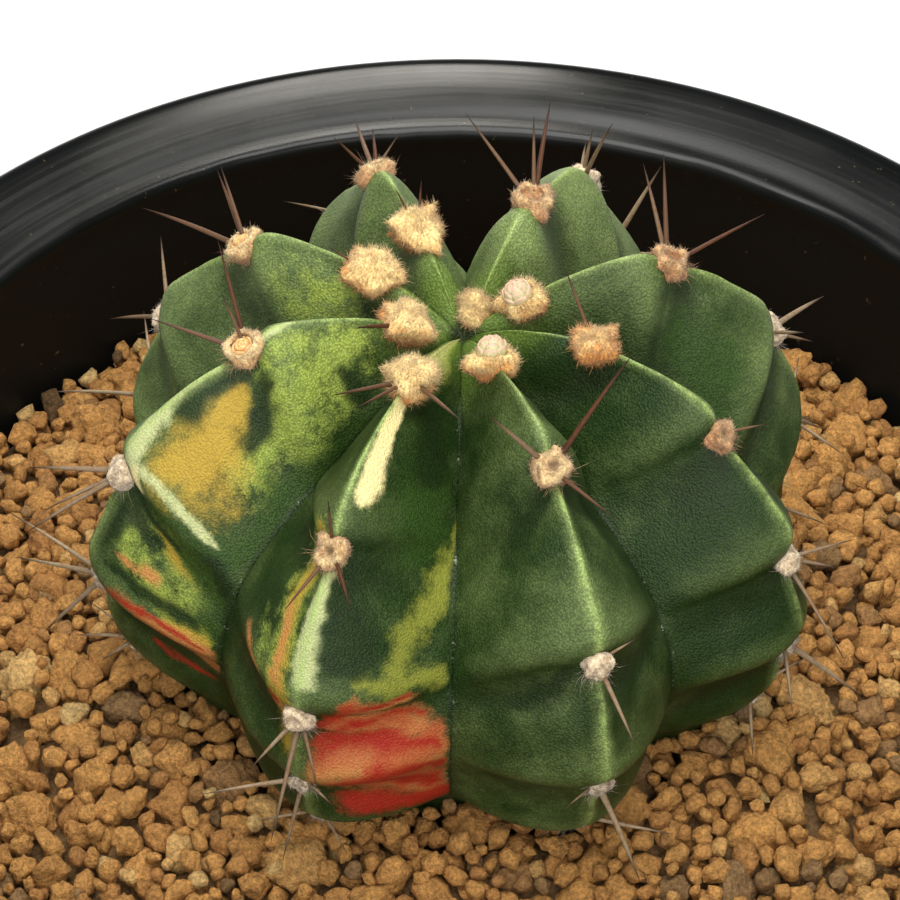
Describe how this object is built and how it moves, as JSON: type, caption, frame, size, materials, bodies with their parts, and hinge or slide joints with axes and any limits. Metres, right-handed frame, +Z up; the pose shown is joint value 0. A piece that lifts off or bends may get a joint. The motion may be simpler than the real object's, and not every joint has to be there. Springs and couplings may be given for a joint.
{
  "type": "potted moon cactus",
  "caption": "Small ribbed globular cactus with woolly areoles and short spines, standing in clay granules in a round plastic nursery pot.",
  "frame": {"origin": "centre of the pot's foot, on the surface that it stands on", "axes": "+Z up along the pot's axis, -Y towards the picture's viewer, +X to the viewer's right"},
  "size_m": [0.09, 0.09, 0.1033],
  "materials": {
    "pot_plastic": "black moulded polypropylene, satin rim",
    "clay_granules": "matte, dusty, porous fired-earth granules",
    "cactus_skin": "waxy plant skin, dark green with yellow and red patches",
    "areole_wool": "cream to orange felted hairs",
    "spine": "dry reddish-brown to grey needles"
  },
  "bodies": {
    "root": {"pot": "pot_plastic", "soil": "clay_granules", "cactus": "cactus_skin"}
  },
  "joints": []
}
